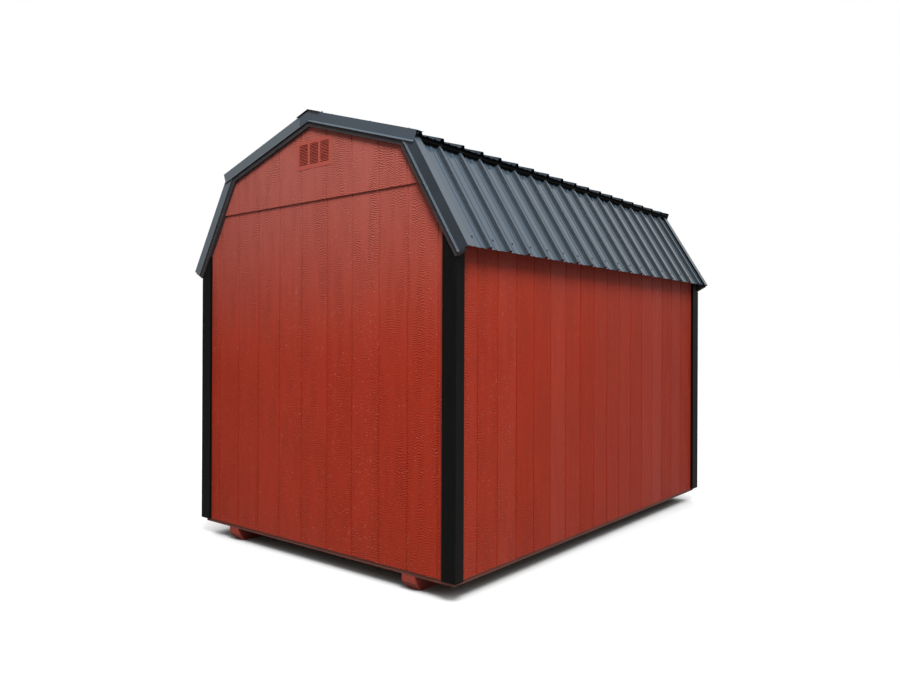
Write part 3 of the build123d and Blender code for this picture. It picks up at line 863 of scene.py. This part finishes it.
class FastenerTree:
    """The Geometry Nodes tree that stands a fastener on each point, along its facing."""

    inputs = (
        ("Head Radius", "NodeSocketFloat"),
        ("Head Height", "NodeSocketFloat"),
        ("Head Sides", "NodeSocketInt"),
        ("Washer Radius", "NodeSocketFloat"),
        ("Washer Height", "NodeSocketFloat"),
        ("Washer Sides", "NodeSocketInt"),
        ("Finish", "NodeSocketMaterial"),
    )

    def __init__(self) -> None:
        """Builds the tree."""
        self.tree = bpy.data.node_groups.new("fasteners", "GeometryNodeTree")
        face = self.tree.interface
        face.new_socket("Geometry", in_out="INPUT", socket_type="NodeSocketGeometry")
        self.keys = {
            name: face.new_socket(name, in_out="INPUT", socket_type=kind).identifier
            for name, kind in self.inputs
        }
        face.new_socket("Geometry", in_out="OUTPUT", socket_type="NodeSocketGeometry")
        s = NodeSheet(self.tree)
        start = self.tree.nodes.new("NodeGroupInput").outputs
        end = self.tree.nodes.new("NodeGroupOutput")
        half_washer = s.math("MULTIPLY", start["Washer Height"], 0.5)
        half_head = s.math("MULTIPLY", start["Head Height"], 0.5)
        washer = self._disc(s, start, "Washer", half_washer)
        head = self._disc(s, start, "Head", s.math("ADD", start["Washer Height"], half_head))
        both = s.add("GeometryNodeJoinGeometry")
        for piece in (washer, head):
            self.tree.links.new(piece, both.inputs[0])
        facing = s.add("GeometryNodeInputNamedAttribute", {"Name": "facing"}, data_type="FLOAT_VECTOR")
        turned = s.add("FunctionNodeAlignRotationToVector", {"Vector": facing.outputs[0]}, axis="Z")
        values = {"Points": start["Geometry"], "Instance": both.outputs[0], "Rotation": turned.outputs[0]}
        stood = s.add("GeometryNodeInstanceOnPoints", values)
        real = s.add("GeometryNodeRealizeInstances", {"Geometry": stood.outputs[0]})
        done = s.add("GeometryNodeSetMaterial", {"Geometry": real.outputs[0], "Material": start["Finish"]})
        self.tree.links.new(done.outputs[0], end.inputs[0])

    def _disc(self, s: NodeSheet, start: Any, part: str, lift: Any) -> bpy.types.NodeSocket:
        """A prism for the head or the washer, lifted to its height.

        Args:
            s: The tree's sheet.
            start: The tree's inputs.
            part: The part's name, which its three sizes start with.
            lift: The height of its middle.

        Returns:
            The prism.
        """
        sizes = {
            "Vertices": start[part + " Sides"],
            "Radius": start[part + " Radius"],
            "Depth": start[part + " Height"],
        }
        disc = s.add("GeometryNodeMeshCylinder", sizes)
        up = s.add("ShaderNodeCombineXYZ", {"Z": lift}).outputs[0]
        return s.add("GeometryNodeTransform", {"Geometry": disc.outputs[0], "Translation": up}).outputs[0]

    def drive(
        self,
        name: str,
        seats: Iterable[Seat | None],
        kind: FastenerKind,
        finish: bpy.types.Material,
        slot: str,
    ) -> None:
        """Makes one mesh of fasteners that rides on the barn.

        Args:
            name: The piece's name.
            seats: The place and facing of each fastener, or None where a drive missed.
            kind: The fastener's sizes.
            finish: Its material.
            slot: The record's slot that the finish belongs to. Not used.
        """
        held = [seat for seat in seats if seat is not None]
        points = bpy.data.meshes.new(name + "_points")
        points.from_pydata([place for place, _ in held], [], [])
        facing = points.attributes.new("facing", "FLOAT_VECTOR", "POINT")
        facing.data.foreach_set("vector", [value for _, normal in held for value in normal])
        holder = bpy.data.objects.new(name + "_points", points)
        bpy.context.scene.collection.objects.link(holder)
        modifier = holder.modifiers.new("fasteners", "NODES")
        modifier.node_group = self.tree
        settings = {
            "Head Radius": kind.head_radius,
            "Head Height": kind.head_height,
            "Head Sides": kind.head_sides,
            "Washer Radius": kind.washer_radius,
            "Washer Height": kind.washer_height,
            "Washer Sides": kind.washer_sides,
            "Finish": finish,
        }
        for key, value in settings.items():
            modifier[self.keys[key]] = value
        graph = bpy.context.evaluated_depsgraph_get()
        mesh = bpy.data.meshes.new_from_object(holder.evaluated_get(graph), depsgraph=graph)
        bpy.data.objects.remove(holder)
        mesh.materials.clear()
        mesh.materials.append(finish)
        piece = bpy.data.objects.new(name, mesh)
        bpy.context.scene.collection.objects.link(piece)
        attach(piece, BODY)
        log.info("%s: %d fasteners, %d faces", name, len(held), len(mesh.polygons))


def evenly(start: float, step: float, count: int) -> list[float]:
    """Places an even step apart."""
    return [start + index * step for index in range(count)]


@dataclass
class Fasteners:
    """The screws of the roof and flashing, and the nails of the siding and boards.

    Places are in metres along the frame's axes. A drive starts above or beside the barn.
    """

    nodes: dict[str, bpy.types.Object]
    finishes: dict[str, bpy.types.Material]
    rib_start: float = -1.7972
    rib_pitch: float = 0.2032
    rib_count: int = 18
    pan_offset: float = 0.080
    eave_row_x: float = 1.0920
    upper_row_x: tuple[float, ...] = (0.70, 0.38)
    cap_row_x: float = 0.075
    cap_rib_step: int = 2
    flashing_row_x: tuple[float, ...] = (0.16, 0.46, 0.74)
    flashing_row_y: float = 1.795
    groove_pitch: float = 0.2032
    nail_offset: float = 0.014
    gable_groove_start: float = 0.9455
    gable_columns: int = 5
    sheet_gap: float = 0.0138
    columns_before_gap: int = 2
    upper_nail_z: tuple[float, ...] = (2.245, 2.36)
    side_groove_start: float = -1.596
    side_columns: int = 9
    nail_low: float = 0.16
    nail_step: float = 0.305
    gable_rows: int = 7
    side_rows: int = 6
    trim_x: float = 1.029
    trim_y: float = 1.79
    trim_nail_low: float = 0.20
    trim_nail_step: float = 0.32
    trim_rows: int = 6
    above: float = 3.0
    beside: float = 2.0
    tree: FastenerTree = field(default_factory=FastenerTree)
    carriers: dict[str, Carrier] = field(default_factory=dict)

    def build(self) -> None:
        """Drives every row."""
        steel = self.finishes["screw_paint"]
        self.tree.drive("roof_screws", self._roof_screws(), ROOF_SCREW, steel, "roof_metal")
        self.tree.drive("cap_screws", self._cap_screws(), ROOF_SCREW, steel, "roof_metal")
        self.tree.drive("flashing_screws", self._flashing_screws(), TRIM_SCREW, steel, "flashing_metal")
        gable, side = self.finishes["gable_siding"], self.finishes["side_siding_painted_shade"]
        self.tree.drive("gable_nails", self._gable_nails(), SIDING_NAIL, gable, "siding_paint")
        self.tree.drive("side_nails", self._side_nails(), SIDING_NAIL, side, "siding_paint")
        trim = self.finishes["trim_upright"]
        self.tree.drive("trim_nails", self._trim_nails(), SIDING_NAIL, trim, "trim_paint")

    def _seat(self, node: str, start: Triple, way: Triple) -> Seat | None:
        """Where a drive meets a node, whose surface is read once.

        Args:
            node: The node's name.
            start: A point outside it.
            way: The direction of the drive.

        Returns:
            The place and the outward normal, or None if the drive misses.
        """
        if node not in self.carriers:
            self.carriers[node] = Carrier(self.nodes[node])
        return self.carriers[node].seat(Vector(start), Vector(way))

    def _roof_screws(self) -> Iterator[Seat | None]:
        """The eave row of the lower sheets and the purlin rows of the upper sheets.

        Yields:
            The seat of each screw, or None where its drive misses.
        """
        pans = evenly(self.rib_start + self.pan_offset, self.rib_pitch, self.rib_count)
        for side, sign in SIDES:
            for y in pans:
                yield self._seat("lower_roof_sheet_" + side, (sign * self.eave_row_x, y, self.above), DOWN)
                for x in self.upper_row_x:
                    yield self._seat("upper_roof_sheet_" + side, (sign * x, y, self.above), DOWN)

    def _cap_screws(self) -> Iterator[Seat | None]:
        """The screws through the ridge cap, on every second rib.

        Yields:
            The seat of each screw, or None where its drive misses.
        """
        ribs = evenly(self.rib_start, self.rib_pitch, self.rib_count)
        for _, sign in SIDES:
            for y in ribs[:: self.cap_rib_step]:
                yield self._seat("ridge_cap", (sign * self.cap_row_x, y, self.above), DOWN)

    def _flashing_screws(self) -> Iterator[Seat | None]:
        """The screws through the top legs of the upper flashings.

        Yields:
            The seat of each screw, or None where its drive misses.
        """
        for end, front in ENDS:
            for side, sign in SIDES:
                node = f"rake_flashing_{end}_upper_{side}"
                for x in self.flashing_row_x:
                    yield self._seat(node, (sign * x, front * self.flashing_row_y, self.above), DOWN)

    def _gable_places(self) -> Iterator[float]:
        """Where the columns of gable nails stand, beside every second groove.

        Yields:
            The place of each column across the gable.
        """
        first = self.gable_groove_start - self.groove_pitch + self.nail_offset
        for column, x in enumerate(evenly(first, -2 * self.groove_pitch, self.gable_columns)):
            yield x - (self.sheet_gap if column >= self.columns_before_gap else 0.0)

    def _gable_nails(self) -> Iterator[Seat | None]:
        """Nails beside every second groove of both gables.

        Yields:
            The seat of each nail, or None where its drive misses.
        """
        rows = evenly(self.nail_low, self.nail_step, self.gable_rows)
        for end, front in ENDS:
            for x in self._gable_places():
                for z in rows:
                    start = (x, front * self.beside, z)
                    yield self._seat(end + "_siding_lower", start, (0.0, -front, 0.0))
                for z in self.upper_nail_z:
                    start = (x, front * self.beside, z)
                    yield self._seat(end + "_siding_upper", start, (0.0, -front, 0.0))

    def _side_nails(self) -> Iterator[Seat | None]:
        """Nails beside every second groove of both long walls.

        Yields:
            The seat of each nail, or None where its drive misses.
        """
        first = self.side_groove_start + self.nail_offset
        rows = evenly(self.nail_low, self.nail_step, self.side_rows)
        for side, sign in SIDES:
            for y in evenly(first, 2 * self.groove_pitch, self.side_columns):
                for z in rows:
                    yield self._seat(side + "_siding", (sign * self.beside, y, z), (-sign, 0.0, 0.0))

    def _trim_nails(self) -> Iterator[Seat | None]:
        """Nails up each face of the corner boards.

        Yields:
            The seat of each nail, or None where its drive misses.
        """
        for end, front in ENDS:
            for side, sign in SIDES:
                node = f"corner_trim_{end}_{side}"
                for z in evenly(self.trim_nail_low, self.trim_nail_step, self.trim_rows):
                    yield self._seat(node, (sign * self.trim_x, front * self.beside, z), (0.0, -front, 0.0))
                    yield self._seat(node, (sign * self.beside, front * self.trim_y, z), (-sign, 0.0, 0.0))


@dataclass
class Viewpoint:
    """The camera's place in metres, its turns in degrees, and its lens in millimetres."""

    place: Triple = (3.2894, -5.0726, 1.3653)
    yaw: float = 43.502
    pitch: float = 0.122
    roll: float = -0.249
    lens: float = 30.2987
    sensor: float = 36.0
    shift: tuple[float, float] = (0.129374, 0.00063)
    reach: float = 200.0

    def build(self) -> None:
        """Makes the camera and sets it as the scene's."""
        data = bpy.data.cameras.new("viewpoint")
        data.sensor_width = self.sensor
        data.lens = self.lens
        data.shift_x, data.shift_y = self.shift
        data.clip_end = self.reach
        camera = bpy.data.objects.new("viewpoint", data)
        bpy.context.scene.collection.objects.link(camera)
        yaw, pitch, roll = (math.radians(turn) for turn in (self.yaw, self.pitch, self.roll))
        level = Matrix.Rotation(yaw, 4, "Z") @ Matrix.Rotation(math.pi / 2 + pitch, 4, "X")
        camera.matrix_world = Matrix.Translation(self.place) @ level @ Matrix.Rotation(-roll, 4, "Z")
        bpy.context.scene.camera = camera


@dataclass
class Studio:
    """Plain floor, white surroundings and soft light."""

    floor_size: float = 60.0
    sky_low: float = 0.16
    sky_gain: float = 0.8
    floor_bounce: float = 0.22
    floor_glow: float = 0.82
    floor_paint: float = 0.36
    floor_roughness: float = 0.9
    # The contact values set a painted shadow on the floor's glow.
    painted_shadow_reach: float = 0.60
    painted_shadow_dark: float = 0.10
    painted_shadow_clear: float = 0.94
    painted_shadow_samples: int = 16
    key_place: Triple = (5.0, -5.6, 8.2)
    key_size: float = 4.0
    key_power: float = 1700.0
    key_aim: Triple = (0.0, 0.0, 1.2)

    def build(self) -> None:
        """Makes the world, the floor and the lamp."""
        scene = bpy.context.scene
        scene.view_settings.view_transform = "Standard"
        self._world(scene)
        self._floor()
        self._key()

    def _world(self, scene: bpy.types.Scene) -> None:
        """White for the camera and for reflections, and dimmer as light, least at the horizon.

        Args:
            scene: The scene that takes the world.
        """
        world = bpy.data.worlds.new("surroundings")
        scene.world = world
        world.use_nodes = True
        world.node_tree.nodes.clear()
        s = NodeSheet(world.node_tree)
        seen = s.looked_at()
        height = s.upright(s.add("ShaderNodeTexCoord").outputs["Generated"])
        light = s.more(self.sky_low, s.ramp(height, 0.0, 1.0), self.sky_gain)
        strength = s.more(seen, s.math("SUBTRACT", 1.0, seen), light)
        back = s.add("ShaderNodeBackground", {"Color": rgba(WHITE), "Strength": strength})
        s.add("ShaderNodeOutputWorld", {"Surface": back.outputs[0]})

    def _floor(self) -> None:
        """A pale level floor that goes to white for the camera and keeps the shadow, with a painted contact
        shadow where its glow fades near the barn.
        """
        half = self.floor_size / 2
        mesh = bpy.data.meshes.new("floor")
        corners = [(-half, -half, 0.0), (half, -half, 0.0), (half, half, 0.0), (-half, half, 0.0)]
        mesh.from_pydata(corners, [], [(0, 1, 2, 3)])
        floor = bpy.data.objects.new("floor", mesh)
        bpy.context.scene.collection.objects.link(floor)
        finish = Finish(
            "floor_paint",
            Roughness=self.floor_roughness,
            Specular_IOR_Level=0.0,
            Emission_Color=rgba(WHITE),
        )
        s = finish.sheet
        seen = s.looked_at()
        bounce, paint = rgba((self.floor_bounce,) * 3), rgba((self.floor_paint,) * 3)
        finish.feed("Base Color", s.mix(seen, bounce, paint))
        # Painted shadow: the camera-only glow fades where the floor is occluded near the barn.
        reach = {"Distance": self.painted_shadow_reach}
        open_sky = s.add("ShaderNodeAmbientOcclusion", reach, samples=self.painted_shadow_samples).outputs["AO"]
        glow_with_painted_shadow = s.ramp(open_sky, self.painted_shadow_dark, self.painted_shadow_clear, 0.0, self.floor_glow)
        finish.feed("Emission Strength", s.math("MULTIPLY", seen, glow_with_painted_shadow))
        mesh.materials.append(finish.material)

    def _key(self) -> None:
        """One soft disk lamp aimed at the barn and kept out of reflections."""
        data = bpy.data.lights.new("key", "AREA")
        data.shape = "DISK"
        data.size = self.key_size
        data.energy = self.key_power
        lamp = bpy.data.objects.new("key", data)
        lamp.location = self.key_place
        aim = Vector(self.key_aim) - Vector(self.key_place)
        lamp.visible_glossy = False
        lamp.rotation_mode = "QUATERNION"
        lamp.rotation_quaternion = aim.to_track_quat("-Z", "Y")
        bpy.context.scene.collection.objects.link(lamp)


def main() -> None:
    """Builds the camera, the finishes, the fasteners and the studio in order."""
    logging.basicConfig(level=logging.INFO, format="%(name)s: %(message)s")
    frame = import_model()
    Viewpoint().build()
    shell = Shell(frame["nodes"], Effects())
    shell.paint()
    shell.dress()
    Fasteners(frame["nodes"], shell.finishes).build()
    Studio().build()


if __name__ == "__main__":
    main()
